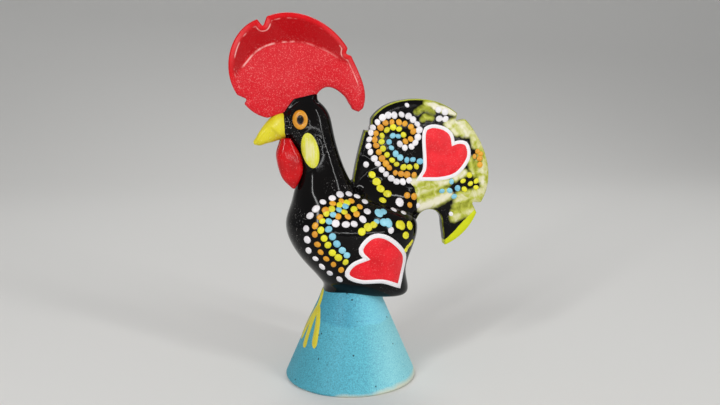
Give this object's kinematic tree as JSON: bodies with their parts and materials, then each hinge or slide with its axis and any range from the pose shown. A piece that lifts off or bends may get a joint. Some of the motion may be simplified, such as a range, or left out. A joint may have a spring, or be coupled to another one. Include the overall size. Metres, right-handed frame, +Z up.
{
  "type": "rooster figurine",
  "caption": "Free-standing painted earthenware rooster on a flared hollow cone, with a tall notched comb, a fan tail and hand-dotted swirls and hearts on black glaze.",
  "frame": {"origin": "centre of the ring that the cone stands on, on the ground plane", "axes": "+Z up along the cone's axis, the beak towards -X and the tail towards +X, the bird's left side towards -Y"},
  "size_m": [0.1067, 0.055, 0.15],
  "materials": {
    "turquoise_glaze": "satin glaze with dark pinholes",
    "black_glaze": "gloss",
    "tail_glaze": "gloss, edged in yellow-green",
    "red_enamel": "gloss",
    "yellow_enamel": "gloss",
    "orange_enamel": "gloss",
    "pupil_glaze": "gloss"
  },
  "bodies": {
    "root": {"base_cone": "turquoise_glaze", "body_left": "black_glaze", "body_right": "black_glaze", "tail_fan": "tail_glaze", "comb": "red_enamel", "beak": "yellow_enamel", "wattle_left": "red_enamel", "wattle_right": "red_enamel", "ear_lobe_left": "yellow_enamel", "ear_lobe_right": "yellow_enamel", "eye_left": "orange_enamel", "eye_right": "orange_enamel", "pupil_left": "pupil_glaze", "pupil_right": "pupil_glaze"}
  },
  "joints": []
}
